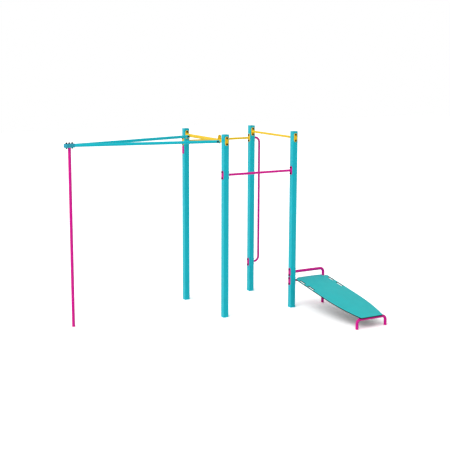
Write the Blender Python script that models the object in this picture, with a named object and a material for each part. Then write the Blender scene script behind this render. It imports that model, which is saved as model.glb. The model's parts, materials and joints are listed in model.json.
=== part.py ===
"""Outdoor fitness station: a four-post bay of grip bars, a sit-up bench and a climbing pole.

Metres, +Z up. The origin is on the ground under the middle of the front left post. +X runs
along the front of the bay towards the bench, and +Y runs to the back of the bay.
"""
import math

import bmesh
import bpy
from mathutils import Matrix, Vector

# Posts of the bay
BAY_WIDTH = 1.14
BAY_DEPTH = 1.17
POST_HEIGHT = 2.60
POST_SIDE = 0.080
POST_WALL = 0.004
POST_CORNER = 0.005
CAP_THICKNESS = 0.005
CAP_EDGE = 0.0015
CAP_PLUG_DEPTH = 0.022
FOOT_PLATE_THICKNESS = 0.008

# Fits and cuts
FIT_GAP = 0.0003
HOLE_CLEARANCE = 0.0006
OVERRUN = 0.004

# Oval flanges, which are welded to the bars, and the loose plates on the far side of each post
PLATE_HEIGHT = 0.125
PLATE_WIDTH = 0.052
PLATE_THICKNESS = 0.008
VENT_DIAMETER = 0.008

# Bolts, each with a domed cover on its head and on its nut
BOLT_DIAMETER = 0.010
BOLT_SPACING = 0.085
HEAD_DIAMETER = 0.027
HEAD_HEIGHT = 0.015
NUT_HEIGHT = 0.017

# Tubes
BAR_DIAMETER = 0.0337
BAR_WALL = 0.0032
LEFT_BAR_DIAMETER = 0.0483
LEFT_BAR_WALL = 0.0032
POLE_DIAMETER = 0.0424
POLE_WALL = 0.0032
BEAM_DIAMETER = 0.0424
BEAM_WALL = 0.0029
RAIL_DIAMETER = 0.0424
RAIL_WALL = 0.0032

# Levels of the bars
TOP_BAR_BELOW_POST_TOP = 0.092
LEFT_BAR_DROP = 0.0055
CROSSING_BOLT_STEP = 0.013
BLANK_PLATE_STEP = 0.001
PULL_UP_BELOW_TOP_BAR = 0.473

# Upright grip bar on the back right post
GRIP_BAR_FOOT_HEIGHT = 0.466
GRIP_BAR_OFFSET = 0.142
GRIP_BAR_BEND = 0.075

# Pins behind the blank plate on the back left post
BLANK_PIN_DIAMETER = 0.008
BLANK_PIN_TAIL = 0.003

# Climbing pole, its hub and the two beams that reach it
POLE_REACH = 2.06
BEAM_INSET = 0.128
BEAM_DROP = 0.0125
BEAM_END_GAP = 0.0015
BEAM_LIP = 0.012
BEAM_BOLT_INSET = 0.047
TONGUE_HEIGHT = 0.030
TONGUE_THICKNESS = 0.008
TONGUE_LENGTH = 0.085
STOP_PLATE_GAP = 0.0005
STOP_PLATE_RISE = 0.014
HUB_LOBE_RADIUS = 0.038
HUB_LOBE_STEP = 0.0405
HUB_HEIGHT = 0.045
HUB_WEB = 0.007
HUB_PLATE_THICKNESS = 0.006
HUB_HEAD_HEIGHT = 0.020
HUB_NUT_HEIGHT = 0.018
MITRE_REACH = 0.30
POLE_PLUG_THICKNESS = 0.010

# Sit-up bench
HEAD_BAR_HEIGHT = 0.3985
RAIL_PLATE_STEP = 0.0075
BENCH_LEG_OFFSET = 0.56
RAIL_BEND = 0.055
FOOT_FRAME_DISTANCE = 1.451
FOOT_FRAME_HEIGHT = 0.135
FOOT_FRAME_SPAN = 0.487
FOOT_FRAME_SHIFT = 0.0165
FOOT_FRAME_DIAMETER = 0.0424
FOOT_FRAME_WALL = 0.0032
FOOT_FRAME_BEND = 0.055

# Board of the bench, measured along the board from the head bar
BOARD_OFFSET = 0.330
BOARD_THICKNESS = 0.013
BOARD_WIDTH = 0.572
BOARD_HEAD_WIDTH = 0.441
BOARD_FOOT_WIDTH = 0.392
BOARD_HEAD_OVERHANG = 0.020
BOARD_HEAD_BOW = 0.008
BOARD_SHOULDER = 0.040
BOARD_TAPER_START = 0.71
BOARD_FOOT_OVERHANG = 0.036
BOARD_FOOT_CORNER = 0.030
NOTCH_CLEARANCE = 0.006
SLOT_WIDTH = 0.028
SLOT_STRIP = 0.018
FIRST_SLOT_START = 0.102
FIRST_SLOT_LENGTH = 0.127
SLOT_SPACE = 0.085
SECOND_SLOT_LENGTH = 0.153
BOARD_STUD_DIAMETER = 0.008
BOARD_STUD_BITE = 0.008
BOARD_STUD_SPACING = 0.26

# Shapes of curves, as shares of the sizes above
DOME_SHARES = ((1.0, 0.0), (0.97, 0.42), (0.74, 0.80), (0.34, 1.0))
BOARD_TAPER_POWER = 2.3
COPE_SHARE = 0.5

# Facets
TUBE_SIDES = 16
BOLT_SIDES = 10
CORNER_STEPS = 3
PLATE_END_STEPS = 8
BEND_STEPS = 6
LOBE_STEPS_PER_TURN = 24
TAPER_STEPS = 8
SLOT_END_STEPS = 5
BOW_STEPS = 4
SHARP_EDGE_DEGREES = 35

# Values that follow from the sizes
TOP_BAR_HEIGHT = POST_HEIGHT - TOP_BAR_BELOW_POST_TOP
PULL_UP_HEIGHT = TOP_BAR_HEIGHT - PULL_UP_BELOW_TOP_BAR
BACK_BAR_HEIGHT = TOP_BAR_HEIGHT - BOLT_SPACING - CROSSING_BOLT_STEP
BLANK_PLATE_HEIGHT = BACK_BAR_HEIGHT - PLATE_HEIGHT - BLANK_PLATE_STEP
RAIL_HEIGHT = HEAD_BAR_HEIGHT + PLATE_HEIGHT + RAIL_PLATE_STEP
BEAM_HEIGHT = TOP_BAR_HEIGHT - LEFT_BAR_DROP - BEAM_DROP
POST_GRIP = POST_SIDE + 2 * PLATE_THICKNESS + 4 * FIT_GAP
HUB_STACK = HUB_HEIGHT + FIT_GAP + HUB_PLATE_THICKNESS
HUB_BOTTOM = BEAM_HEIGHT - HUB_STACK / 2
HUB_TOP = BEAM_HEIGHT + HUB_STACK / 2
POLE_TOP = HUB_TOP - HUB_WEB - FIT_GAP
BEAM_SPREAD = BAY_DEPTH - 2 * BEAM_INSET
BEAM_ANGLE = math.atan2(BEAM_SPREAD / 2, POLE_REACH)

POSTS = {
    "front_left": Vector((0, 0, 0)),
    "front_right": Vector((BAY_WIDTH, 0, 0)),
    "back_left": Vector((0, BAY_DEPTH, 0)),
    "back_right": Vector((BAY_WIDTH, BAY_DEPTH, 0)),
}
SIDES = {
    "left": Vector((-1, 0, 0)),
    "right": Vector((1, 0, 0)),
    "front": Vector((0, -1, 0)),
    "back": Vector((0, 1, 0)),
}
UP = Vector((0, 0, 1))

# Which pairs of plates each bar is bolted through: post, side of the bolt heads, level
BOLTED_JOINTS = {
    "left_bar": (("front_left", "front", TOP_BAR_HEIGHT), ("back_left", "back", TOP_BAR_HEIGHT)),
    "right_bar": (("front_right", "front", TOP_BAR_HEIGHT), ("back_right", "back", TOP_BAR_HEIGHT)),
    "back_bar": (("back_left", "left", BACK_BAR_HEIGHT), ("back_right", "left", BACK_BAR_HEIGHT)),
    "pull_up_bar": (("front_left", "left", PULL_UP_HEIGHT), ("front_right", "right", PULL_UP_HEIGHT)),
    "grip_bar": (("back_right", "left", GRIP_BAR_FOOT_HEIGHT),),
    "bench": (("front_right", "left", RAIL_HEIGHT), ("front_right", "left", HEAD_BAR_HEIGHT)),
}


def clear_scene():
    for old in list(bpy.data.objects):
        bpy.data.objects.remove(old, do_unlink=True)


def linear(byte):
    """Linear value of one sRGB colour channel."""
    value = byte / 255
    return value / 12.92 if value <= 0.04045 else ((value + 0.055) / 1.055) ** 2.4


def make_material(name, colour, roughness, metallic):
    material = bpy.data.materials.new(name)
    material.use_nodes = True
    shader = material.node_tree.nodes["Principled BSDF"]
    shader.inputs["Base Color"].default_value = [linear(byte) for byte in colour] + [1.0]
    shader.inputs["Roughness"].default_value = roughness
    shader.inputs["Metallic"].default_value = metallic
    material.diffuse_color = shader.inputs["Base Color"].default_value
    return material


def circle(radius, sides):
    return [Vector((radius * math.cos(math.tau * step / sides), radius * math.sin(math.tau * step / sides)))
            for step in range(sides)]


def arc(centre, radius, start, end, steps):
    """Points of an arc, without its last one."""
    angles = [start + (end - start) * step / steps for step in range(steps)]
    return [centre + radius * Vector((math.cos(angle), math.sin(angle))) for angle in angles]


def rounded_square(side, radius):
    inset = side / 2 - radius
    points = []
    for quarter in range(4):
        start = quarter * math.pi / 2
        diagonal = Vector((math.cos(start + math.pi / 4), math.sin(start + math.pi / 4))) * math.sqrt(2) * inset
        points += arc(diagonal, radius, start, start + math.pi / 2, CORNER_STEPS)
        points.append(diagonal + radius * Vector((math.cos(start + math.pi / 2), math.sin(start + math.pi / 2))))
    return points


def oval(length, width, steps):
    """A straight-sided oval, long along Y."""
    radius = width / 2
    centre = Vector((0, length / 2 - radius))
    points = []
    for middle, start in ((centre, 0), (-centre, math.pi)):
        points += arc(middle, radius, start, start + math.pi, steps)
        points.append(middle + radius * Vector((math.cos(start + math.pi), math.sin(start + math.pi))))
    return points


def lobed(radius):
    """The hub's plan: three overlapping round lobes in a row along X."""
    step = Vector((HUB_LOBE_STEP, 0))
    waist = math.acos(HUB_LOBE_STEP / 2 / radius)
    spans = (
        (step, waist - math.pi, math.pi - waist),
        (Vector((0, 0)), waist, math.pi - waist),
        (-step, waist, math.tau - waist),
        (Vector((0, 0)), math.pi + waist, math.tau - waist),
    )
    points = []
    for centre, start, end in spans:
        steps = max(2, round(LOBE_STEPS_PER_TURN * (end - start) / math.tau))
        points += arc(centre, radius, start, end, steps)
    return points


def levelled(outline, height):
    """The points of a flat outline, lifted to a height."""
    return [Vector((point.x, point.y, height)) for point in outline]


def prism(outline, low, high):
    return [levelled(outline, low), levelled(outline, high)], False


def turned(profile, sides):
    """A solid of revolution about Z from (radius, height) pairs, capped at both ends."""
    return [levelled(circle(radius, sides), height) for radius, height in profile], False


def box(low, high):
    corners = [Vector((low[0], low[1])), Vector((high[0], low[1])),
               Vector((high[0], high[1])), Vector((low[0], high[1]))]
    return prism(corners, low[2], high[2])


def cylinder(radius, start, end, sides=BOLT_SIDES):
    axis = end - start
    turn = UP.rotation_difference(axis).to_matrix().to_4x4()
    body = turned([(radius, 0), (radius, axis.length)], sides)
    return moved(body, Matrix.Translation(start) @ turn)


def moved(body, matrix):
    rings, closed = body
    return [[matrix @ point for point in ring] for ring in rings], closed


def bent_path(corners, radius):
    """Points and directions along straight runs whose corners are rounded."""
    stations = [(corners[0], (corners[1] - corners[0]).normalized())]
    for before, corner, after in zip(corners, corners[1:], corners[2:]):
        arriving = (corner - before).normalized()
        leaving = (after - corner).normalized()
        normal = arriving.cross(leaving).normalized()
        turn = arriving.angle(leaving)
        start = corner - arriving * radius * math.tan(turn / 2)
        centre = start + normal.cross(arriving) * radius
        for step in range(BEND_STEPS + 1):
            spin = Matrix.Rotation(turn * step / BEND_STEPS, 3, normal)
            stations.append((centre + spin @ (start - centre), spin @ arriving))
    stations.append((corners[-1], (corners[-1] - corners[-2]).normalized()))
    return stations


def tube(stations, diameter, wall, normal):
    """A hollow tube, open at both ends, along a flat path that has the given normal."""
    def rings(radius):
        result = []
        for point, direction in stations:
            across = direction.cross(normal)
            result.append([point + spot.x * normal + spot.y * across for spot in circle(radius, TUBE_SIDES)])
        return result
    return rings(diameter / 2) + rings(diameter / 2 - wall)[::-1], True


def straight_tube(start, end, diameter, wall, normal=Vector((1, 0, 0))):
    direction = (end - start).normalized()
    return tube([(start, direction), (end, direction)], diameter, wall, normal)


def make_object(name, bodies, material=None, frame=None):
    """Makes one object from closed bodies, in its own frame."""
    mesh = bmesh.new()
    for rings, closed in bodies:
        loops = [[mesh.verts.new(point) for point in ring] for ring in rings]
        pairs = list(zip(loops, loops[1:]))
        if closed:
            pairs.append((loops[-1], loops[0]))
        else:
            mesh.faces.new(loops[0])
            mesh.faces.new(loops[-1])
        for first, second in pairs:
            for here in range(len(first)):
                there = (here + 1) % len(first)
                mesh.faces.new((first[here], first[there], second[there], second[here]))
    bmesh.ops.recalc_face_normals(mesh, faces=mesh.faces)
    data = bpy.data.meshes.new(name)
    mesh.to_mesh(data)
    mesh.free()
    data.shade_smooth()
    data.set_sharp_from_angle(angle=math.radians(SHARP_EDGE_DEGREES))
    thing = bpy.data.objects.new(name, data)
    bpy.context.collection.objects.link(thing)
    if material:
        data.materials.append(material)
        thing.parent = bpy.data.objects["station"]
    if frame:
        thing.matrix_basis = frame
    return thing


def combine(target, name, bodies, operation):
    """Joins bodies to an object, or cuts them out of it, in the object's own frame."""
    guide = make_object(f"{target.name}_{name}", bodies)
    guide.parent = target
    guide.hide_render = True
    guide.display_type = "WIRE"
    modifier = target.modifiers.new(name, "BOOLEAN")
    modifier.operation = operation
    modifier.object = guide


def face_frame(post, side, height):
    """A frame on a post's face: local Y is up and local Z points out of the face."""
    outward = SIDES[side]
    across = UP.cross(outward)
    origin = POSTS[post] + outward * (POST_SIDE / 2 + FIT_GAP) + UP * height
    return Matrix.Translation(origin) @ Matrix((across, UP, outward)).transposed().to_4x4()


def seat_frame(post, side, height):
    """A frame on the outer face of a plate on a post, where a bolt head or nut seats."""
    return face_frame(post, side, height) @ Matrix.Translation((0, 0, PLATE_THICKNESS + FIT_GAP))


def bolt_spots():
    return [Vector((0, side * BOLT_SPACING / 2, 0)) for side in (-1, 1)]


def plate_body(depth=0):
    return prism(oval(PLATE_HEIGHT, PLATE_WIDTH, PLATE_END_STEPS), depth, depth + PLATE_THICKNESS)


def plate_holes(depth=0):
    low = Vector((0, 0, depth - OVERRUN))
    high = Vector((0, 0, depth + PLATE_THICKNESS + OVERRUN))
    radius = BOLT_DIAMETER / 2 + HOLE_CLEARANCE
    return [cylinder(radius, spot + low, spot + high) for spot in bolt_spots()]


def dome_profile(height, seat=0):
    """The domed cover of a head or a nut, from its seat up, or down where the height is negative."""
    return [(share * HEAD_DIAMETER / 2, seat + rise * height) for share, rise in DOME_SHARES]


def bolt_body(grip, head_height=HEAD_HEIGHT, nut_height=NUT_HEIGHT):
    """A bolt. Its head seats at zero and rises along Z, and its nut seats below the grip."""
    shank = BOLT_DIAMETER / 2
    nut = dome_profile(-nut_height, -grip)
    return turned(nut[::-1] + [(shank, -grip), (shank, 0)] + dome_profile(head_height), BOLT_SIDES)


def make_posts(paint):
    outer = rounded_square(POST_SIDE, POST_CORNER)
    inner = rounded_square(POST_SIDE - 2 * POST_WALL, POST_CORNER - POST_WALL)
    inside = rounded_square(POST_SIDE - 2 * (POST_WALL + FIT_GAP), POST_CORNER - POST_WALL)
    rim = rounded_square(POST_SIDE - 2 * CAP_EDGE, POST_CORNER - CAP_EDGE)
    tube_top = POST_HEIGHT - CAP_THICKNESS - FIT_GAP
    cap_seat = POST_HEIGHT - CAP_THICKNESS
    for name, place in POSTS.items():
        frame = Matrix.Translation(place)
        walls = [
            levelled(outer, 0),
            levelled(outer, tube_top),
            levelled(inner, tube_top),
            levelled(inner, FOOT_PLATE_THICKNESS),
        ]
        post = make_object(f"{name}_post", [(walls, False)], paint["teal"], frame)
        combine(post, "holes", post_holes(name), "DIFFERENCE")
        cap = [
            levelled(inside, cap_seat - CAP_PLUG_DEPTH),
            levelled(inside, cap_seat),
            levelled(outer, cap_seat),
            levelled(outer, POST_HEIGHT - CAP_EDGE),
            levelled(rim, POST_HEIGHT),
        ]
        make_object(f"{name}_post_cap", [(cap, False)], paint["teal"], frame)


def post_holes(name):
    """Holes through a post for all the bolts that cross it, in the post's frame."""
    radius = BOLT_DIAMETER / 2 + HOLE_CLEARANCE
    reach = POST_SIDE / 2 + OVERRUN
    holes = []
    for joints in BOLTED_JOINTS.values():
        for post, side, height in joints:
            if post == name:
                for spot in bolt_spots():
                    middle = UP * (height + spot.y)
                    holes.append(cylinder(radius, middle + SIDES[side] * reach, middle - SIDES[side] * reach))
    if name == "back_left":
        radius = BLANK_PIN_DIAMETER / 2 + HOLE_CLEARANCE
        for spot in bolt_spots():
            middle = UP * (BLANK_PLATE_HEIGHT + spot.y)
            inner = SIDES["left"] * (POST_SIDE / 2 - POST_WALL - OVERRUN)
            holes.append(cylinder(radius, middle + SIDES["left"] * reach, middle + inner))
    return holes


def make_bolts(paint):
    """The bolts of each bar's joints."""
    for name, joints in BOLTED_JOINTS.items():
        places = [seat_frame(*joint) @ Matrix.Translation(spot) for joint in joints for spot in bolt_spots()]
        for number, place in enumerate(places, 1):
            make_object(f"{name}_bolt_{number}", [bolt_body(POST_GRIP)], paint["black"], place)


def make_plates(paint):
    """The loose plates that the bolt heads bear on."""
    plates = {
        "left_bar_front_plate": ("left_bar", 0, "yellow"),
        "left_bar_back_plate": ("left_bar", 1, "yellow"),
        "right_bar_front_plate": ("right_bar", 0, "yellow"),
        "right_bar_back_plate": ("right_bar", 1, "yellow"),
        "back_bar_plate": ("back_bar", 0, "yellow"),
        "pull_up_left_plate": ("pull_up_bar", 0, "pink"),
        "pull_up_right_plate": ("pull_up_bar", 1, "pink"),
        "grip_bar_plate": ("grip_bar", 0, "pink"),
        "bench_rail_plate": ("bench", 0, "pink"),
        "bench_head_plate": ("bench", 1, "pink"),
    }
    for name, (bar, joint, colour) in plates.items():
        frame = face_frame(*BOLTED_JOINTS[bar][joint])
        plate = make_object(name, [plate_body()], paint[colour], frame)
        combine(plate, "holes", plate_holes(), "DIFFERENCE")


def make_blank_plate(paint):
    """The plate with no bar, held by two pins that pass through the post's wall."""
    frame = face_frame("back_left", "left", BLANK_PLATE_HEIGHT)
    plate = make_object("blank_plate", [plate_body()], paint["pink"], frame)
    tail = Vector((0, 0, -FIT_GAP - POST_WALL - BLANK_PIN_TAIL))
    root = Vector((0, 0, PLATE_THICKNESS / 2))
    pins = [cylinder(BLANK_PIN_DIAMETER / 2, spot + tail, spot + root) for spot in bolt_spots()]
    combine(plate, "pins", pins, "UNION")


def make_straight_bar(name, start, end, height, diameter, wall, drop, material):
    """A tube welded between two oval flanges, each against the facing side of a post."""
    run = POSTS[end] - POSTS[start]
    side = "right" if run.x > run.y else "back"
    frame = face_frame(start, side, height)
    length = run.length - POST_SIDE - 2 * FIT_GAP
    far = length - PLATE_THICKNESS
    axis = Vector((0, -drop, 0))
    low = axis + Vector((0, 0, PLATE_THICKNESS / 2))
    high = axis + Vector((0, 0, length - PLATE_THICKNESS / 2))
    bar = make_object(name, [straight_tube(low, high, diameter, wall)], material, frame)
    combine(bar, "flanges", [plate_body(), plate_body(far)], "UNION")
    holes = plate_holes() + plate_holes(far)
    for depth in (0, far):
        start_point = axis + Vector((0, 0, depth - OVERRUN))
        end_point = axis + Vector((0, 0, depth + PLATE_THICKNESS + OVERRUN))
        holes.append(cylinder(VENT_DIAMETER / 2, start_point, end_point))
    combine(bar, "holes", holes, "DIFFERENCE")
    return bar


def beam_frame(side):
    """A beam's frame: origin on the pole's axis, local X along the beam. Side is -1 for the front one."""
    origin = Vector((-POLE_REACH, BAY_DEPTH / 2, BEAM_HEIGHT))
    return Matrix.Translation(origin) @ Matrix.Rotation(side * BEAM_ANGLE, 4, "Z")


def beam_bolt_distance():
    """Distance along a beam from the pole's axis to the bolt through the beam's end."""
    return POLE_REACH / math.cos(BEAM_ANGLE) - BEAM_BOLT_INSET


def make_bars(paint):
    bar = (BAR_DIAMETER, BAR_WALL, 0)
    left = make_straight_bar("left_bar", "front_left", "back_left", TOP_BAR_HEIGHT,
                             LEFT_BAR_DIAMETER, LEFT_BAR_WALL, LEFT_BAR_DROP, paint["yellow"])
    add_beam_tongues(left)
    make_straight_bar("right_bar", "front_right", "back_right", TOP_BAR_HEIGHT, *bar, paint["yellow"])
    make_straight_bar("back_bar", "back_left", "back_right", BACK_BAR_HEIGHT, *bar, paint["yellow"])
    make_straight_bar("pull_up_bar", "front_left", "front_right", PULL_UP_HEIGHT, *bar, paint["pink"])
    make_grip_bar(paint)


def add_beam_tongues(left):
    """Welds to the left bar the tongues that reach into the beams, and an oval plate at the front one."""
    to_bar = left.matrix_basis.inverted()
    tongues = []
    holes = []
    for side in (-1, 1):
        frame = to_bar @ beam_frame(side)
        root = POLE_REACH / math.cos(BEAM_ANGLE)
        low = (root - TONGUE_LENGTH, -TONGUE_THICKNESS / 2, -TONGUE_HEIGHT / 2)
        high = (root, TONGUE_THICKNESS / 2, TONGUE_HEIGHT / 2)
        tongues.append(moved(box(low, high), frame))
        middle = Vector((beam_bolt_distance(), 0, 0))
        across = Vector((0, TONGUE_THICKNESS / 2 + OVERRUN, 0))
        hole = cylinder(BOLT_DIAMETER / 2 + HOLE_CLEARANCE, middle - across, middle + across)
        holes.append(moved(hole, frame))
    combine(left, "tongues", tongues, "UNION")
    beam_back = BEAM_INSET + BEAM_DIAMETER / 2 / math.cos(BEAM_ANGLE) + math.tan(BEAM_ANGLE) * PLATE_WIDTH / 2
    depth = beam_back + STOP_PLATE_GAP - POST_SIDE / 2 - FIT_GAP
    stop_plate = moved(plate_body(depth), Matrix.Translation((0, STOP_PLATE_RISE, 0)))
    combine(left, "stop_plate", [stop_plate], "UNION")
    combine(left, "tongue_holes", holes, "DIFFERENCE")


def make_grip_bar(paint):
    """The upright grip bar, bent back at both ends to a flange on the post."""
    frame = face_frame("back_right", "right", BACK_BAR_HEIGHT)
    out = GRIP_BAR_OFFSET - POST_SIDE / 2 - FIT_GAP
    fall = Vector((0, GRIP_BAR_FOOT_HEIGHT - BACK_BAR_HEIGHT, 0))
    root = Vector((0, 0, PLATE_THICKNESS / 2))
    corners = [root, Vector((0, 0, out)), Vector((0, 0, out)) + fall, root + fall]
    body = tube(bent_path(corners, GRIP_BAR_BEND), BAR_DIAMETER, BAR_WALL, Vector((1, 0, 0)))
    grip = make_object("grip_bar", [body], paint["pink"], frame)
    drop = Matrix.Translation(fall)
    combine(grip, "flanges", [plate_body(), moved(plate_body(), drop)], "UNION")
    vent = cylinder(VENT_DIAMETER / 2, Vector((0, 0, -OVERRUN)), Vector((0, 0, PLATE_THICKNESS + OVERRUN)))
    holes = plate_holes() + [vent]
    holes += [moved(hole, drop) for hole in holes]
    combine(grip, "holes", holes, "DIFFERENCE")


def make_pole(paint):
    """The pole, closed at its foot, and the screw in the plug at its head."""
    place = Vector((-POLE_REACH, BAY_DEPTH / 2, 0))
    bore = POLE_DIAMETER / 2 - POLE_WALL
    walls = [(POLE_DIAMETER / 2, 0), (POLE_DIAMETER / 2, POLE_TOP), (bore, POLE_TOP), (bore, FOOT_PLATE_THICKNESS)]
    make_object("climbing_pole", [turned(walls, TUBE_SIDES)], paint["pink"], Matrix.Translation(place))
    plug = bore - 2 * FIT_GAP
    shank = BOLT_DIAMETER / 2
    top = POLE_TOP - HUB_TOP - FIT_GAP
    stem = [(plug, top - POLE_PLUG_THICKNESS), (plug, top), (shank, top), (shank, 0)]
    screw = turned(stem + dome_profile(HUB_HEAD_HEIGHT), TUBE_SIDES)
    seat = Matrix.Translation(place + UP * (HUB_TOP + FIT_GAP))
    make_object("pole_head_screw", [screw], paint["black"], seat)


def make_hub(paint):
    """The cast hub on the pole's head, and the plate below it."""
    middle = Vector((-POLE_REACH, BAY_DEPTH / 2, 0))
    plan = lobed(HUB_LOBE_RADIUS)
    plate = make_object("hub_plate", [prism(plan, 0, HUB_PLATE_THICKNESS)], paint["teal"],
                        Matrix.Translation(middle + UP * HUB_BOTTOM))
    bolt_hole = BOLT_DIAMETER / 2 + HOLE_CLEARANCE
    pole_hole = POLE_DIAMETER / 2 + HOLE_CLEARANCE
    spots = [Vector((side * HUB_LOBE_STEP, 0, 0)) for side in (-1, 1)]
    below = Vector((0, 0, -OVERRUN))
    above = Vector((0, 0, HUB_PLATE_THICKNESS + OVERRUN))
    holes = [cylinder(bolt_hole, spot + below, spot + above) for spot in spots]
    holes.append(cylinder(pole_hole, below, above, TUBE_SIDES))
    combine(plate, "holes", holes, "DIFFERENCE")

    body = make_object("hub_body", [prism(plan, 0, HUB_HEIGHT)], paint["teal"],
                       Matrix.Translation(middle + UP * (HUB_TOP - HUB_HEIGHT)))
    above = Vector((0, 0, HUB_HEIGHT + OVERRUN))
    holes = [cylinder(bolt_hole, spot + below, spot + above) for spot in spots]
    bore_end = HUB_HEIGHT - HUB_WEB
    bore = [(pole_hole, -OVERRUN), (pole_hole, bore_end), (bolt_hole, bore_end), (bolt_hole, HUB_HEIGHT + OVERRUN)]
    holes.append(turned(bore, TUBE_SIDES))
    combine(body, "holes", holes, "DIFFERENCE")

    for number, spot in enumerate(spots, 1):
        seat = Matrix.Translation(middle + spot + UP * (HUB_TOP + FIT_GAP))
        bolt = bolt_body(HUB_STACK + 2 * FIT_GAP, HUB_HEAD_HEIGHT, HUB_NUT_HEIGHT)
        make_object(f"hub_bolt_{number}", [bolt], paint["black"], seat)


def make_beams(paint):
    """The beams from the left bar to the hub, mitred on each other and coped and bolted at their bar ends."""
    hub = Matrix.Translation(Vector((-POLE_REACH, BAY_DEPTH / 2, BEAM_HEIGHT)))
    end = POLE_REACH - BEAM_LIP
    hub_cut = prism(lobed(HUB_LOBE_RADIUS + FIT_GAP), -BEAM_DIAMETER, BEAM_DIAMETER)
    end_cut = box((end, -BEAM_SPREAD, -BEAM_DIAMETER), (end + MITRE_REACH, BEAM_SPREAD, BEAM_DIAMETER))
    bar_cut = cylinder(LEFT_BAR_DIAMETER / 2 + BEAM_END_GAP, Vector((POLE_REACH, -BEAM_SPREAD, BEAM_DROP)),
                       Vector((POLE_REACH, BEAM_SPREAD, BEAM_DROP)), 2 * TUBE_SIDES)
    hole_reach = Vector((0, BEAM_DIAMETER / 2 + OVERRUN, 0))
    for name, side in (("front_beam", -1), ("back_beam", 1)):
        frame = beam_frame(side)
        start = Vector((HUB_LOBE_STEP, 0, 0))
        tip = Vector((end / math.cos(BEAM_ANGLE) + BEAM_DIAMETER, 0, 0))
        body = straight_tube(start, tip, BEAM_DIAMETER, BEAM_WALL, UP)
        beam = make_object(name, [body], paint["teal"], frame)
        to_beam = frame.inverted() @ hub
        combine(beam, "hub_cope", [moved(hub_cut, to_beam)], "DIFFERENCE")
        edge = -side * MITRE_REACH
        inner = side * FIT_GAP / 2
        low = (-MITRE_REACH, min(edge, inner), -BEAM_DIAMETER)
        high = (MITRE_REACH, max(edge, inner), BEAM_DIAMETER)
        combine(beam, "mitre", [moved(box(low, high), to_beam)], "DIFFERENCE")
        combine(beam, "end", [moved(end_cut, to_beam)], "DIFFERENCE")
        combine(beam, "bar_cope", [moved(bar_cut, to_beam)], "DIFFERENCE")
        middle = Vector((beam_bolt_distance(), 0, 0))
        hole = cylinder(BOLT_DIAMETER / 2 + HOLE_CLEARANCE, middle - hole_reach, middle + hole_reach)
        combine(beam, "bolt_hole", [hole], "DIFFERENCE")
        forward = Matrix.Translation(middle - Vector((0, BEAM_DIAMETER / 2 + FIT_GAP, 0)))
        seat = frame @ forward @ Matrix.Rotation(math.pi / 2, 4, "X")
        make_object(f"{name}_bolt", [bolt_body(BEAM_DIAMETER + 2 * FIT_GAP)], paint["black"], seat)


def board_frame():
    """The board's frame: origin on the head bar's axis, local Y up along the board, local Z out of it."""
    rise = HEAD_BAR_HEIGHT - FOOT_FRAME_HEIGHT
    reach = math.hypot(FOOT_FRAME_DISTANCE, rise)
    swell = (FOOT_FRAME_DIAMETER - BAR_DIAMETER) / 2
    tilt = math.atan2(rise, FOOT_FRAME_DISTANCE) - math.asin(swell / reach)
    origin = POSTS["front_right"] + Vector((BOARD_OFFSET, 0, HEAD_BAR_HEIGHT))
    return Matrix.Translation(origin) @ Matrix.Rotation(tilt, 4, "X"), math.sqrt(reach ** 2 - swell ** 2)


def board_half_outline(foot_bar):
    """Right half of the board's outline, from the middle of its head to the middle of its foot."""
    head = BOARD_HEAD_WIDTH / 2
    full = BOARD_WIDTH / 2
    foot = BOARD_FOOT_WIDTH / 2
    end = -foot_bar - BOARD_FOOT_OVERHANG
    points = []
    for step in range(BOW_STEPS + 1):
        share = step / BOW_STEPS
        points.append(Vector((head * share, BOARD_HEAD_OVERHANG + BOARD_HEAD_BOW * (1 - share ** 2))))
    points.append(Vector((full, -BOARD_SHOULDER)))
    taper_end = end + BOARD_FOOT_CORNER
    for step in range(TAPER_STEPS + 1):
        share = step / TAPER_STEPS
        along = -BOARD_TAPER_START + (taper_end + BOARD_TAPER_START) * share
        points.append(Vector((full - (full - foot) * share ** BOARD_TAPER_POWER, along)))
    corner = Vector((foot - BOARD_FOOT_CORNER, taper_end))
    points += arc(corner, BOARD_FOOT_CORNER, 0, -math.pi / 2, SLOT_END_STEPS)[1:]
    points.append(Vector((foot - BOARD_FOOT_CORNER, end)))
    return points


def slot_bodies(low, high):
    """Four hand slots near the board's long edges."""
    second_start = FIRST_SLOT_START + FIRST_SLOT_LENGTH + SLOT_SPACE
    aside = BOARD_WIDTH / 2 - SLOT_STRIP - SLOT_WIDTH / 2
    bodies = []
    for start, length in ((FIRST_SLOT_START, FIRST_SLOT_LENGTH), (second_start, SECOND_SLOT_LENGTH)):
        for side in (-1, 1):
            place = Matrix.Translation((side * aside, -start - length / 2, 0))
            bodies.append(moved(prism(oval(length, SLOT_WIDTH, SLOT_END_STEPS), low, high), place))
    return bodies


def board_stud_places(foot_bar):
    """For each board stud: its place on the bar's axis in the board's frame, and the bar's radius."""
    foot_radius = FOOT_FRAME_DIAMETER / 2
    head_radius = BAR_DIAMETER / 2
    places = []
    for side in (-1, 1):
        aside = side * BOARD_STUD_SPACING / 2
        places.append((Vector((aside, 0, 0)), head_radius))
        places.append((Vector((aside, -foot_bar, head_radius - foot_radius)), foot_radius))
    return places


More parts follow.
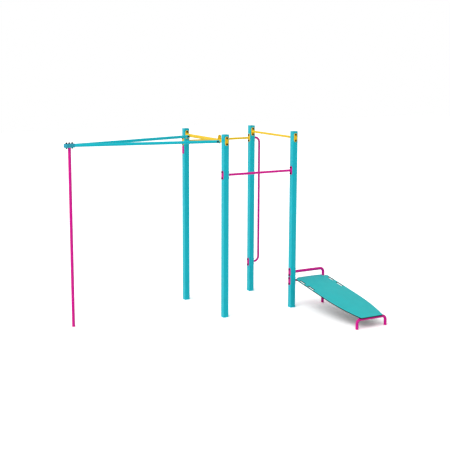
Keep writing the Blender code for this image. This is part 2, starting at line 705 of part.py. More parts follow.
def make_board(paint):
    frame, foot_bar = board_frame()
    low = BAR_DIAMETER / 2 + FIT_GAP
    high = low + BOARD_THICKNESS
    right = board_half_outline(foot_bar)
    left = [Vector((-point.x, point.y)) for point in reversed(right[1:])]
    board = make_object("bench_board", [prism(right + left, low, high)], paint["board"], frame)
    cuts = slot_bodies(low - OVERRUN, high + OVERRUN)
    combine(board, "slots", cuts, "DIFFERENCE")
    leg = POSTS["front_right"] + Vector((BENCH_LEG_OFFSET, 0, 0))
    notch = cylinder(RAIL_DIAMETER / 2 + NOTCH_CLEARANCE, leg, leg + UP * RAIL_HEIGHT, TUBE_SIDES)
    combine(board, "notch", [moved(notch, frame.inverted())], "DIFFERENCE")
    sockets = []
    for place, _ in board_stud_places(foot_bar):
        mouth = Vector((place.x, place.y, low - OVERRUN))
        bottom = Vector((place.x, place.y, low + BOARD_STUD_BITE + FIT_GAP))
        sockets.append(cylinder(BOARD_STUD_DIAMETER / 2 + HOLE_CLEARANCE, mouth, bottom))
    combine(board, "sockets", sockets, "DIFFERENCE")


def add_board_studs(bar, chosen, wall):
    """Welds to a bench bar the studs that hold the board."""
    frame, foot_bar = board_frame()
    to_bar = bar.matrix_basis.inverted() @ frame
    studs = []
    for place, radius in board_stud_places(foot_bar):
        if radius == chosen:
            root = place + Vector((0, 0, radius - wall / 2))
            tip = place + Vector((0, 0, radius + FIT_GAP + BOARD_STUD_BITE))
            studs.append(moved(cylinder(BOARD_STUD_DIAMETER / 2, root, tip), to_bar))
    combine(bar, "studs", studs, "UNION")


def make_bench_bars(paint):
    """The foot rail with its leg, the bar under the board's head and the frame under its foot."""
    sideways = Vector((1, 0, 0))
    root = Vector((0, 0, PLATE_THICKNESS / 2))
    leg_out = BENCH_LEG_OFFSET - POST_SIDE / 2 - FIT_GAP
    rail_frame = face_frame("front_right", "right", RAIL_HEIGHT)
    corners = [root, Vector((0, 0, leg_out)), Vector((0, -RAIL_HEIGHT, leg_out))]
    body = tube(bent_path(corners, RAIL_BEND), RAIL_DIAMETER, RAIL_WALL, sideways)
    rail = make_object("bench_rail", [body], paint["pink"], rail_frame)
    combine(rail, "flange", [plate_body()], "UNION")
    combine(rail, "holes", plate_holes(), "DIFFERENCE")

    head_frame = face_frame("front_right", "right", HEAD_BAR_HEIGHT)
    tip = Vector((0, 0, leg_out - COPE_SHARE * RAIL_DIAMETER / 2))
    head = make_object("bench_head_bar", [straight_tube(root, tip, BAR_DIAMETER, BAR_WALL)], paint["pink"],
                       head_frame)
    combine(head, "flange", [plate_body()], "UNION")
    leg_low = Vector((0, -BAR_DIAMETER, leg_out))
    leg_high = Vector((0, BAR_DIAMETER, leg_out))
    cope = cylinder(RAIL_DIAMETER / 2 + 2 * FIT_GAP, leg_low, leg_high, TUBE_SIDES)
    combine(head, "cope", [cope], "DIFFERENCE")
    combine(head, "holes", plate_holes(), "DIFFERENCE")
    add_board_studs(head, BAR_DIAMETER / 2, BAR_WALL)

    middle = POSTS["front_right"] + Vector((BOARD_OFFSET + FOOT_FRAME_SHIFT, -FOOT_FRAME_DISTANCE, 0))
    half = Vector((FOOT_FRAME_SPAN / 2, 0, 0))
    lift = UP * FOOT_FRAME_HEIGHT
    path = bent_path([-half, lift - half, lift + half, half], FOOT_FRAME_BEND)
    body = tube(path, FOOT_FRAME_DIAMETER, FOOT_FRAME_WALL, Vector((0, 1, 0)))
    foot = make_object("bench_foot_frame", [body], paint["pink"], Matrix.Translation(middle))
    add_board_studs(foot, FOOT_FRAME_DIAMETER / 2, FOOT_FRAME_WALL)


def build():
    clear_scene()
    station = bpy.data.objects.new("station", None)
    bpy.context.collection.objects.link(station)
    paint = {
        "teal": make_material("teal_paint", (30, 172, 188), 0.38, 0.0),
        "pink": make_material("pink_paint", (222, 24, 138), 0.38, 0.0),
        "yellow": make_material("yellow_paint", (250, 196, 40), 0.40, 0.0),
        "black": make_material("black_cap", (14, 14, 16), 0.45, 0.0),
        "board": make_material("teal_board", (58, 190, 192), 0.55, 0.0),
    }
    make_posts(paint)
    make_plates(paint)
    make_blank_plate(paint)
    make_bars(paint)
    make_bolts(paint)
    make_pole(paint)
    make_hub(paint)
    make_beams(paint)
    make_board(paint)
    make_bench_bars(paint)


build()
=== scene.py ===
"""Looks of the outdoor fitness station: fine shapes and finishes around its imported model.

Metres, +Z up, in the part's own frame: +X runs along the front of the bay towards the bench, and
+Y to its back. Each piece here stands for one solid of the model and keeps its place and size.
"""
import json
import math

import bmesh
import bpy
from mathutils import Matrix, Vector, noise

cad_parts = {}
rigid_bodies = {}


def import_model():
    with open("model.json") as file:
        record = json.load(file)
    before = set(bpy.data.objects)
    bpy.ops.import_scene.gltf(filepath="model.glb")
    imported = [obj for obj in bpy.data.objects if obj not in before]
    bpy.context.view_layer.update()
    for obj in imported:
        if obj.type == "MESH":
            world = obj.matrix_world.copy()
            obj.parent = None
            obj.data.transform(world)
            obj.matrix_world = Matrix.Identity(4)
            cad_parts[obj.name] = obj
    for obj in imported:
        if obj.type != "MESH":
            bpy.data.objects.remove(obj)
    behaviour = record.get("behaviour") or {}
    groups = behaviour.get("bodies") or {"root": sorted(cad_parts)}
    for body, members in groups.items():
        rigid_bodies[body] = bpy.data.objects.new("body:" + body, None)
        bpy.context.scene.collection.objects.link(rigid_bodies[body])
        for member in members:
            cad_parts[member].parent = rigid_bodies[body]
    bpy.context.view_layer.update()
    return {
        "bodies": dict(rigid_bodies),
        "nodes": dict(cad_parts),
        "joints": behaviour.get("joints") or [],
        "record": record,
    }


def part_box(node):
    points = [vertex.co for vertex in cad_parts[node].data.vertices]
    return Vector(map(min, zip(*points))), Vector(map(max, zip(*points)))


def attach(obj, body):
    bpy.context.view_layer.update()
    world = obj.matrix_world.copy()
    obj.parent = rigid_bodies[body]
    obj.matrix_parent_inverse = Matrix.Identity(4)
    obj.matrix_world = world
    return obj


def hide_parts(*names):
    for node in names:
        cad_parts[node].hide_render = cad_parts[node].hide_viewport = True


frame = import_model()

# Camera of the photograph
CAMERA_PLACE = Vector((-7.0699, -12.2086, 3.8541))
CAMERA_YAW = 0.5249
CAMERA_PITCH = 0.1771
CAMERA_ROLL = 0.0031
CAMERA_LENS = 81.79
SENSOR_WIDTH = 36.0

# Posts and their caps
POST_CORNER = 0.005
POST_WALL = 0.004
FOOT_PLATE_THICKNESS = 0.008
CAP_THICKNESS = 0.005
CAP_ROUNDING = 0.003
CAP_TUCK = 0.0006

# The broken sharp edges of posts, pole and hub, and the gaps between touching pieces
EDGE_BREAK = 0.0006
FIT_GAP = 0.0003
HOLE_CLEARANCE = 0.0006

# Oval plates and flanges
PLATE_HEIGHT = 0.125
PLATE_WIDTH = 0.052
PLATE_THICKNESS = 0.008
PLATE_ROUNDING = 0.0018
BOLT_SPACING = 0.085
BLANK_PIN_RADIUS = 0.004
BLANK_PIN_LENGTH = 0.0115

# Bolts. A cover of two parts, a washer and a dome snapped on to it, hides each head and nut.
BOLT_RADIUS = 0.005
COVER_RADIUS = 0.0135
HEAD_HEIGHT = 0.015
HUB_HEAD_HEIGHT = 0.020
NUT_HEIGHT = 0.017
HUB_NUT_HEIGHT = 0.018
WASHER_THICKNESS = 0.0034
WASHER_ROUNDING = 0.0007
SEAM_HEIGHT = 0.0005
SEAM_RADIUS = 0.0114
DOME_RADIUS = 0.0124
DOME_RISE = 0.0088
DOME_FLAT_RADIUS = 0.0006
PRY_NOTCH_HEIGHT = 0.0020
PRY_NOTCH_DEPTH = 0.0014
PRY_NOTCH_SLOPE = 0.0004

# Tubes
BAR_RADIUS = 0.01685
BAR_WALL = 0.0032
LEFT_BAR_RADIUS = 0.02415
LEFT_BAR_DROP = 0.0055
LEFT_BAR_WALL = 0.0032
POLE_RADIUS = 0.0212
POLE_WALL = 0.0032
BEAM_RADIUS = 0.0212
BEAM_WALL = 0.0029
FOOT_FRAME_RADIUS = 0.0212
FOOT_FRAME_WALL = 0.0032
RAIL_RADIUS = 0.0212
RAIL_WALL = 0.0032

# Weld beads, one ripple for each step of the torch
BEAD_RADIUS = 0.0034
BEAD_RIPPLE = 0.0030
BEAD_SWELL_SHARE = 0.09
BEAD_WANDER_SHARE = 0.10
BEAD_LEAN_SHARE = 0.18
BEAD_WANDER_SCALE = 160
BEAD_MIN_RIPPLES = 6

# Bends
GRIP_BAR_BEND = 0.075
RAIL_BEND = 0.055
FOOT_FRAME_BEND = 0.055

# Climbing pole, hub and beams
BEAM_INSET = 0.128
BEAM_DROP = 0.0125
BEAM_END_GAP = 0.0015
BEAM_LIP = 0.012
BEAM_BOLT_INSET = 0.047
TONGUE_HEIGHT = 0.030
TONGUE_THICKNESS = 0.008
TONGUE_LENGTH = 0.085
TONGUE_ROUNDING = 0.0012
STOP_PLATE_GAP = 0.0005
STOP_PLATE_RISE = 0.014
HUB_LOBE_RADIUS = 0.038
HUB_LOBE_STEP = 0.0405
HUB_WEB = 0.007
HUB_ROUNDING = 0.0035
HUB_PLATE_ROUNDING = 0.0012
POLE_PLUG_THICKNESS = 0.010

# Sit-up bench
HEAD_BAR_HEIGHT = 0.3985
FOOT_FRAME_DISTANCE = 1.451
FOOT_FRAME_HEIGHT = 0.135
BOARD_OFFSET = 0.330
BOARD_THICKNESS = 0.013
BOARD_ROUNDING = 0.0035
BOARD_WIDTH = 0.572
BOARD_HEAD_WIDTH = 0.441
BOARD_FOOT_WIDTH = 0.392
BOARD_HEAD_OVERHANG = 0.020
BOARD_HEAD_BOW = 0.008
BOARD_SHOULDER = 0.040
BOARD_TAPER_START = 0.71
BOARD_FOOT_OVERHANG = 0.036
BOARD_FOOT_CORNER = 0.030
BOARD_TAPER_POWER = 2.3
NOTCH_CLEARANCE = 0.006
SLOT_WIDTH = 0.028
SLOT_STRIP = 0.018
SLOT_STARTS = (0.102, 0.314)
SLOT_LENGTHS = (0.127, 0.153)
STUD_RADIUS = 0.004
STUD_BITE = 0.008
STUD_SPACING = 0.26

# Facets
TUBE_SIDES = 56
SHANK_SIDES = 24
COVER_SIDES = 36
CORNER_STEPS = 8
PLATE_END_STEPS = 24
ROUNDING_STEPS = 4
BEND_STEPS = 18
LOBE_STEPS = 24
BEAD_SIDES = 8
STEPS_PER_RIPPLE = 4
TAPER_STEPS = 40
BOW_STEPS = 12
SHOULDER_STEPS = 6
SLOT_END_STEPS = 14
SHARP_ANGLE = math.radians(38)
MITRE_LIMIT = 0.5

# Colours, in sRGB bytes
COLOURS = {
    "teal": (4, 185, 200),
    "cast": (50, 165, 188),
    "pink": (212, 6, 142),
    "yellow": (243, 197, 27),
    "black": (6, 4, 6),
    "board": (38, 193, 196),
    "core": (4, 12, 12),
}
# Noises of the finishes: scale per metre, detail and roughness. Nearly all their values lie
# between the low and the high one.
NOISES = {
    "paint_cloud": (5.5, 4.0, 0.6),
    "paint_dust": (700.0, 2.0, 0.7),
    "paint_wear": (60.0, 3.0, 0.5),
    "paint_scuff": (1.0, 5.0, 0.65),
    "paint_peel": (420.0, 1.0, 0.4),
    "paint_grain": (2400.0, 2.0, 0.6),
    "cap_cloud": (180.0, 4.0, 0.6),
    "cap_scuff": (1.0, 4.0, 0.6),
    "cap_gloss": (320.0, 3.0, 0.5),
    "cap_grain": (1900.0, 3.0, 0.7),
    "board_cloud": (7.0, 4.0, 0.6),
    "board_dust": (900.0, 2.0, 0.7),
    "board_rub": (1.0, 5.0, 0.7),
    "board_grain": (2600.0, 2.0, 0.5),
    "core_saw": (1.0, 3.0, 0.6),
}
NOISE_LOW = 0.3
NOISE_HIGH = 0.7
# Scales per metre along each axis, for the noises that are drawn out
STRETCHES = {
    "paint_scuff": (38.0, 38.0, 9.0),
    "cap_scuff": (260.0, 900.0, 260.0),
    "board_rub": (90.0, 5.0, 90.0),
    "core_saw": (900.0, 900.0, 60.0),
}
# The darkest and the lightest tone of each finish, as shares of its colour
TONES = {
    "paint": (0.93, 1.05),
    "cap": (0.8, 1.3),
    "board": (0.955, 1.035),
    "core": (0.75, 1.7),
}
# Marks: how far they cover, their tone, and the span of the noise over which they fade in
MARKS = {
    "paint_dust": (0.35, 1.22, 0.55, 0.8),
    "cap_scuff": (0.35, 3.2, 0.62, 0.75),
    "board_dust": (0.3, 0.8, 0.56, 0.8),
    "board_rub": (0.16, 1.3, 0.58, 0.78),
    "core_saw": (0.4, 3.0, 0.55, 0.8),
}
# Bumps: strength, and depth in metres
RELIEFS = {
    "paint_peel": (0.16, 0.0006),
    "paint_grain": (0.08, 0.0002),
    "cap_grain": (0.22, 0.0003),
    "board_pebble": (0.20, 0.0005),
    "board_grain": (0.08, 0.0002),
    "core_saw": (0.20, 0.0003),
    "core_layers": (0.12, 0.0002),
}
# Lowest and highest roughness. For paint they are steps from the coat's own roughness.
ROUGHNESSES = {
    "paint": (-0.05, 0.09),
    "cap": (0.36, 0.52),
    "board": (0.50, 0.64),
    "core": (0.40, 0.58),
}
PAINT_ROUGHNESS = 0.34
CAST_ROUGHNESS = 0.44
CAST_GRAIN = 2.0

# Paint worn thin on edges, where the surface's pointiness is high
WORN_POINTINESS = (0.53, 0.62)
WORN_SHARE = 0.5
WORN_TONE = 1.35
WORN_ROUGHNESS = 0.1

# The board's pebbled face and layered core
PEBBLE_SCALE = 620.0
LAYER_SCALE = 330.0
LAYER_WARP = 0.8
LAYER_DETAIL = 2.0
LAYER_SPAN = (0.1, 0.9)

# Gloss of each finish, as the shader's specular level
PAINT_SHEEN = 0.22
PLASTIC_SHEEN = 0.15
BOARD_SHEEN = 0.22

# Floor, world, and the lamp that shines from the left
FLOOR_REACH = 30.0
FLOOR_DROP = 0.0005
FLOOR_GREY = 0.95
FLOOR_WHITE = 1.6
SKY_LEVEL = 0.62
SKY_SIDE = 0.34
KEY_LEVEL = 1.1
KEY_SPREAD = math.radians(42)
KEY_TURN = (math.radians(42), 0, math.radians(-62))

UP = Vector((0, 0, 1))
SIDES = {
    "left": Vector((-1, 0, 0)),
    "right": Vector((1, 0, 0)),
    "front": Vector((0, -1, 0)),
    "back": Vector((0, 1, 0)),
}
POSTS = ("front_left", "front_right", "back_left", "back_right")

# The side that the bolt heads of each joint are on, two bolts to a joint
HEAD_SIDES = {
    "left_bar": ("front", "back"),
    "right_bar": ("front", "back"),
    "back_bar": ("left", "left"),
    "pull_up_bar": ("left", "right"),
    "grip_bar": ("left",),
    "bench": ("left", "left"),
}
# Each loose plate's post and colour
LOOSE_PLATES = {
    "left_bar_front_plate": ("front_left", "yellow"),
    "left_bar_back_plate": ("back_left", "yellow"),
    "right_bar_front_plate": ("front_right", "yellow"),
    "right_bar_back_plate": ("back_right", "yellow"),
    "back_bar_plate": ("back_left", "yellow"),
    "pull_up_left_plate": ("front_left", "pink"),
    "pull_up_right_plate": ("front_right", "pink"),
    "grip_bar_plate": ("back_right", "pink"),
    "bench_rail_plate": ("front_right", "pink"),
    "bench_head_plate": ("front_right", "pink"),
}


def circle(radius, sides):
    return [radius * Vector((math.cos(math.tau * step / sides), math.sin(math.tau * step / sides)))
            for step in range(sides)]


def arc(centre, radius, start, end, steps):
    """Points of an arc, with both its ends."""
    angles = [start + (end - start) * step / steps for step in range(steps + 1)]
    return [centre + radius * Vector((math.cos(angle), math.sin(angle))) for angle in angles]


def rounded_square(side, radius):
    inset = side / 2 - radius
    points = []
    for quarter, (x, y) in enumerate(((1, 1), (-1, 1), (-1, -1), (1, -1))):
        start = quarter * math.pi / 2
        points += arc(inset * Vector((x, y)), radius, start, start + math.pi / 2, CORNER_STEPS)
    return points


def oval(length, width, steps):
    """A straight-sided oval, long along Y."""
    radius = width / 2
    centre = Vector((0, length / 2 - radius))
    return arc(centre, radius, 0, math.pi, steps) + arc(-centre, radius, math.pi, math.tau, steps)


def lobed(radius):
    """The hub's plan: three overlapping round lobes in a row along X."""
    step = Vector((HUB_LOBE_STEP, 0))
    waist = math.acos(HUB_LOBE_STEP / 2 / radius)
    points = arc(step, radius, waist - math.pi, math.pi - waist, LOBE_STEPS)[:-1]
    points += arc(Vector((0, 0)), radius, waist, math.pi - waist, LOBE_STEPS)[:-1]
    points += arc(-step, radius, waist, math.tau - waist, LOBE_STEPS)[:-1]
    points += arc(Vector((0, 0)), radius, math.pi + waist, math.tau - waist, LOBE_STEPS)[:-1]
    return points


def raised(outline, height):
    return [Vector((point.x, point.y, height)) for point in outline]


def inset(outline, distance):
    """The outline drawn in to its left by a distance, so a clockwise hole grows."""
    points = []
    for before, here, after in zip(outline[-1:] + outline[:-1], outline, outline[1:] + outline[:1]):
        arriving = (here - before).normalized()
        leaving = (after - here).normalized()
        first = Vector((-arriving.y, arriving.x))
        both = (first + Vector((-leaving.y, leaving.x))).normalized()
        points.append(here + both * distance / max(both.dot(first), MITRE_LIMIT))
    return points


def add_wall(shape, rings, closed=False, paint=0, frame=Matrix()):
    """Skins a row of rings, back to the first if closed. Gives its first and last loop."""
    loops = [[shape.verts.new(frame @ point) for point in ring] for ring in rings]
    for first, second in zip(loops, loops[1:] + loops[:1] if closed else loops[1:]):
        for here in range(len(first)):
            there = (here + 1) % len(first)
            face = shape.faces.new((first[here], first[there], second[there], second[here]))
            face.material_index = paint
            face.smooth = True
    return loops[0], loops[-1]


def add_loft(shape, rings, closed=False, frame=Matrix()):
    """Skins a row of rings. Closed joins the last to the first, and otherwise both are capped."""
    ends = add_wall(shape, rings, closed, frame=frame)
    if not closed:
        for loop in ends:
            shape.faces.new(loop)


def add_flat(shape, loops, paint=0):
    """Fills the flat face between an outer loop and the loops of its holes."""
    edges = [shape.edges.get(pair) for loop in loops for pair in zip(loop, loop[1:] + loop[:1])]
    for item in bmesh.ops.triangle_fill(shape, edges=edges, use_beauty=True)["geom"]:
        if isinstance(item, bmesh.types.BMFace):
            item.material_index = paint
            item.smooth = False


def slab_rings(outline, low, high, rounding, round_low=True):
    """The rings of a slab's edge, drawn in where the edge is rounded."""
    turns = [math.pi / 2 * step / ROUNDING_STEPS for step in range(ROUNDING_STEPS + 1)]
    foot = [(0, low)]
    if round_low:
        foot = [(rounding * (1 - math.sin(turn)), low + rounding * (1 - math.cos(turn)))
                for turn in turns]
    head = [(rounding * (1 - math.cos(turn)), high - rounding * (1 - math.sin(turn)))
            for turn in turns]
    return [raised(inset(outline, depth), height) for depth, height in foot + head]


def add_slab(shape, outlines, low, high, rounding, frame=Matrix(), paints=(0, 0, 0),
             round_low=True):
    """A flat slab with rounded edges. Its holes run clockwise. Paints go from bottom to top."""
    bottom, edge, top = paints
    walls = []
    for outline in outlines:
        rings = slab_rings(outline, low, high, rounding, round_low)
        walls.append(add_wall(shape, rings, False, edge, frame))
    add_flat(shape, [first for first, last in walls], bottom)
    add_flat(shape, [last for first, last in walls], top)


def add_turned(shape, profile, sides, frame=Matrix()):
    """A solid of revolution about Z, from (radius, height) pairs."""
    rings = [raised(circle(radius, sides), height) for radius, height in profile]
    add_loft(shape, rings, frame=frame)


def bent_path(corners, radius):
    """Points and directions along straight runs whose corners are rounded."""
    stations = [(corners[0], (corners[1] - corners[0]).normalized())]
    for before, corner, after in zip(corners, corners[1:], corners[2:]):
        arriving = (corner - before).normalized()
        leaving = (after - corner).normalized()
        normal = arriving.cross(leaving).normalized()
        turn = arriving.angle(leaving)
        start = corner - arriving * radius * math.tan(turn / 2)
        centre = start + normal.cross(arriving) * radius
        for step in range(BEND_STEPS + 1):
            spin = Matrix.Rotation(turn * step / BEND_STEPS, 3, normal)
            stations.append((centre + spin @ (start - centre), spin @ arriving))
    stations.append((corners[-1], (corners[-1] - corners[-2]).normalized()))
    return stations


def add_tube(shape, stations, radius, wall, normal):
    """A hollow tube along a flat path that has the given normal."""
    rings = []
    for size, path in ((radius, stations), (radius - wall, stations[::-1])):
        spots = circle(size, TUBE_SIDES)
        for point, direction in path:
            across = direction.cross(normal)
            rings.append([point + spot.x * normal + spot.y * across for spot in spots])
    add_loft(shape, rings, True)


def add_sleeve(shape, ends, radius, wall, sides):
    """A hollow straight tube. Ends gives its first and last ring from the spots of a circle."""
    outer_first, outer_last = ends(circle(radius, sides))
    inner_first, inner_last = ends(circle(radius - wall, sides))
    add_loft(shape, [outer_first, outer_last, inner_last, inner_first], True)


def straight(start, end):
    direction = (end - start).normalized()
    return [(start, direction), (end, direction)]


def add_bead(shape, path, leans, seed=0):
    """A rippled weld bead along a closed path. Leans point out of the corner that it fills."""
    count = len(path)
    length = sum((here - there).length for here, there in zip(path, path[1:] + path[:1]))
    total = max(BEAD_MIN_RIPPLES, round(length / BEAD_RIPPLE)) * STEPS_PER_RIPPLE
    rings = []
    for step in range(total):
        share = step / total * count
        before = int(share)
        after = (before + 1) % count
        blend = share - before
        here = path[before].lerp(path[after], blend)
        lean = leans[before].lerp(leans[after], blend).normalized()
        along = (path[after] - path[before]).normalized()
        side = along.cross(lean).normalized()
        swell = 1 + BEAD_SWELL_SHARE * (abs(math.sin(math.pi * step / STEPS_PER_RIPPLE)) - 0.5)
        swell += BEAD_WANDER_SHARE * noise.noise(here * BEAD_WANDER_SCALE + Vector((seed, 0, 0)))
        centre = here + lean * BEAD_RADIUS * BEAD_LEAN_SHARE
        rings.append([centre + BEAD_RADIUS * swell * (spot.x * lean + spot.y * side)
                      for spot in circle(1, BEAD_SIDES)])
    add_loft(shape, rings, True)


def add_ring_bead(shape, radius, height, direction, centre=Vector((0, 0, 0)), seed=0):
    """The weld round a tube at its flange. Direction is 1 where the tube rises from it along Z."""
    outwards = [Vector((spot.x, spot.y, 0)) for spot in circle(1, TUBE_SIDES)]
    path = [centre + outward * radius + UP * height for outward in outwards]
    leans = [(outward + UP * direction).normalized() for outward in outwards]
    add_bead(shape, path, leans, seed)


def finish_piece(node, shape, colours, frame):
    """Turns a shape into the piece that stands for a node of the model."""
    bmesh.ops.recalc_face_normals(shape, faces=shape.faces)
    data = bpy.data.meshes.new(f"{node}_finish")
    shape.to_mesh(data)
    shape.free()
    data.set_sharp_from_angle(angle=SHARP_ANGLE)
    for colour in colours:
        data.materials.append(FINISHES[colour])
    place_piece(node, data, frame)


def place_piece(node, data, frame):
    piece = bpy.data.objects.new(f"{node}_finish", data)
    bpy.context.scene.collection.objects.link(piece)
    piece.matrix_world = frame
    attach(piece, "root")
    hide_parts(node)


def middle(node):
    low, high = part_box(node)
    return (low + high) / 2


def plumb_frame(node):
    """A frame on the ground, under the middle of a node."""
    low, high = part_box(node)
    return Matrix.Translation(((low.x + high.x) / 2, (low.y + high.y) / 2, 0))


def face_frame(origin, outward):
    """A frame with local Y up and local Z along the outward direction."""
    axes = Matrix((UP.cross(outward), UP, outward)).transposed()
    return Matrix.Translation(origin) @ axes.to_4x4()


def srgb(*channels):
    """A linear colour from sRGB bytes."""
    shares = [channel / 255 for channel in channels]
    return [share / 12.92 if share <= 0.04045 else ((share + 0.055) / 1.055) ** 2.4
            for share in shares] + [1.0]


class Nodes:
    """A node tree that grows one node at a time."""

    def __init__(self, tree):
        self.tree = tree

    def add(self, kind, settings=None, **sockets):
        node = self.tree.nodes.new(kind)
        for name, value in (settings or {}).items():
            setattr(node, name, value)
        self.fill(node, sockets)
        return node

    def fill(self, node, sockets):
        for name, value in sockets.items():
            self.set(node.inputs[name.replace("_", " ")], value)

    def set(self, socket, value):
        if isinstance(value, bpy.types.NodeSocket):
            self.tree.links.new(value, socket)
        else:
            socket.default_value = value

    def math(self, operation, *values):
        node = self.add("ShaderNodeMath", {"operation": operation})
        for socket, value in zip(node.inputs, values):
            self.set(socket, value)
        return node.outputs[0]

    def shown(self):
        """1 on rays from the eye, from a reflection and through glass, and 0 on all others."""
        rays = self.add("ShaderNodeLightPath").outputs
        shown = self.math("MAXIMUM", rays["Is Camera Ray"], rays["Is Glossy Ray"])
        return self.math("MAXIMUM", shown, rays["Is Transmission Ray"])


class Finish(Nodes):
    """A material whose textures lie in the piece's own space."""

    def __init__(self, name):
        self.material = bpy.data.materials.new(name)
        self.material.use_nodes = True
        super().__init__(self.material.node_tree)
        self.shader = self.tree.nodes["Principled BSDF"]
        self.place = self.add("ShaderNodeTexCoord").outputs["Object"]

    def noise(self, name):
        scale, detail, roughness = NOISES[name]
        place = self.place
        if name in STRETCHES:
            mapping = self.add("ShaderNodeMapping", Vector=place, Scale=STRETCHES[name])
            place = mapping.outputs["Vector"]
        node = self.add("ShaderNodeTexNoise", Scale=scale, Detail=detail, Roughness=roughness,
                        Vector=place)
        return node.outputs["Fac"]

    def range(self, value, low, high, first=NOISE_LOW, last=NOISE_HIGH):
        """A value of first to last turned into low to high."""
        node = self.add("ShaderNodeMapRange", Value=value, From_Min=first, From_Max=last,
                        To_Min=low, To_Max=high)
        return node.outputs["Result"]

    def mix(self, share, one, other):
        """A blend of two colours."""
        node = self.add("ShaderNodeMix", {"data_type": "RGBA"}, Factor=share)
        for socket, value in zip([entry for entry in node.inputs if entry.type == "RGBA"],
                                 (one, other)):
            self.set(socket, value)
        return [entry for entry in node.outputs if entry.type == "RGBA"][0]

    def clouds(self, value, colour, name, first=NOISE_LOW, last=NOISE_HIGH):
        """The colour, between its darkest and its lightest tone."""
        dark, light = [toned(colour, tone) for tone in TONES[name]]
        return self.mix(self.range(value, 0.0, 1.0, first, last), dark, light)

    def marks(self, base, value, colour, name):
        """The base with marks in another tone where the value is high."""
        share, tone, first, last = MARKS[name]
        return self.mix(self.range(value, 0.0, share, first, last), base, toned(colour, tone))

    def relief(self, height, name, share=1.0, normal=None):
        """Bumps of a named strength and depth, on top of others if their normal is given."""
        strength, depth = RELIEFS[name]
        node = self.add("ShaderNodeBump", Height=height, Strength=strength * share, Distance=depth)
        if normal:
            self.set(node.inputs["Normal"], normal)
        return node.outputs["Normal"]

    def shade(self, **sockets):
        self.fill(self.shader, sockets)


def toned(colour, share):
    """A colour made lighter or darker by a share."""
    return [min(channel * share, 1.0) for channel in colour[:3]] + [1.0]


def powder_coat(name, colour, roughness=PAINT_ROUGHNESS, grain=1.0):
    """Baked powder paint: orange peel, faint clouds, fine dust and thinner paint on edges."""
    finish = Finish(name)
    base = finish.clouds(finish.noise("paint_cloud"), colour, "paint")
    base = finish.marks(base, finish.noise("paint_dust"), colour, "paint_dust")
    edge = finish.add("ShaderNodeNewGeometry").outputs["Pointiness"]
    worn = finish.math("MULTIPLY", finish.range(edge, 0.0, 1.0, *WORN_POINTINESS),
                       finish.noise("paint_wear"))
    base = finish.mix(finish.math("MULTIPLY", worn, WORN_SHARE), base, toned(colour, WORN_TONE))
    less, more = ROUGHNESSES["paint"]
    rough = finish.range(finish.noise("paint_scuff"), roughness + less, roughness + more)
    rough = finish.math("ADD", rough, finish.math("MULTIPLY", worn, WORN_ROUGHNESS))
    peel = finish.relief(finish.noise("paint_peel"), "paint_peel", grain)
    fine = finish.relief(finish.noise("paint_grain"), "paint_grain", grain, peel)
    finish.shade(Base_Color=base, Roughness=rough, Normal=fine, Specular_IOR_Level=PAINT_SHEEN)
    return finish.material


def black_plastic(name, colour):
    """Moulded nylon caps: a fine spark-eroded grain with a few light scuffs."""
    finish = Finish(name)
    base = finish.clouds(finish.noise("cap_cloud"), colour, "cap")
    base = finish.marks(base, finish.noise("cap_scuff"), colour, "cap_scuff")
    rough = finish.range(finish.noise("cap_gloss"), *ROUGHNESSES["cap"])
    grain = finish.relief(finish.noise("cap_grain"), "cap_grain")
    finish.shade(Base_Color=base, Roughness=rough, Normal=grain, Specular_IOR_Level=PLASTIC_SHEEN)
    return finish.material


def laminate_face(name, colour):
    """The coloured face of the compact board: pebbled by the press, and scuffed along it."""
    finish = Finish(name)
    base = finish.clouds(finish.noise("board_cloud"), colour, "board")
    base = finish.marks(base, finish.noise("board_dust"), colour, "board_dust")
    rub = finish.noise("board_rub")
    base = finish.marks(base, rub, colour, "board_rub")
    rough = finish.range(rub, *ROUGHNESSES["board"])
    pebble = finish.add("ShaderNodeTexVoronoi", {"feature": "SMOOTH_F1"}, Scale=PEBBLE_SCALE,
                        Vector=finish.place)
    press = finish.relief(pebble.outputs["Distance"], "board_pebble")
    fine = finish.relief(finish.noise("board_grain"), "board_grain", normal=press)
    finish.shade(Base_Color=base, Roughness=rough, Normal=fine, Specular_IOR_Level=BOARD_SHEEN)
    return finish.material


def laminate_core(name, colour):
    """The board's cut edge: a black core of pressed layers, with fine saw marks."""
    finish = Finish(name)
    layers = finish.add("ShaderNodeTexWave", {"bands_direction": "Z"}, Vector=finish.place,
                        Scale=LAYER_SCALE, Distortion=LAYER_WARP, Detail=LAYER_DETAIL)
    layers = layers.outputs["Fac"]
    base = finish.clouds(layers, colour, "core", *LAYER_SPAN)
    saw = finish.noise("core_saw")
    base = finish.marks(base, saw, colour, "core_saw")
    rough = finish.range(saw, *ROUGHNESSES["core"])
    cut = finish.relief(saw, "core_saw")
    fine = finish.relief(layers, "core_layers", normal=cut)
    finish.shade(Base_Color=base, Roughness=rough, Normal=fine, Specular_IOR_Level=PLASTIC_SHEEN)
    return finish.material


def make_finishes():
    colours = {name: srgb(*channels) for name, channels in COLOURS.items()}
    return {
        "teal": powder_coat("teal_powder_coat", colours["teal"]),
        "cast": powder_coat("teal_cast_coat", colours["cast"], CAST_ROUGHNESS, CAST_GRAIN),
        "pink": powder_coat("pink_powder_coat", colours["pink"]),
        "yellow": powder_coat("yellow_powder_coat", colours["yellow"]),
        "black": black_plastic("black_nylon", colours["black"]),
        "board": laminate_face("teal_laminate", colours["board"]),
        "core": laminate_core("black_laminate_core", colours["core"]),
    }


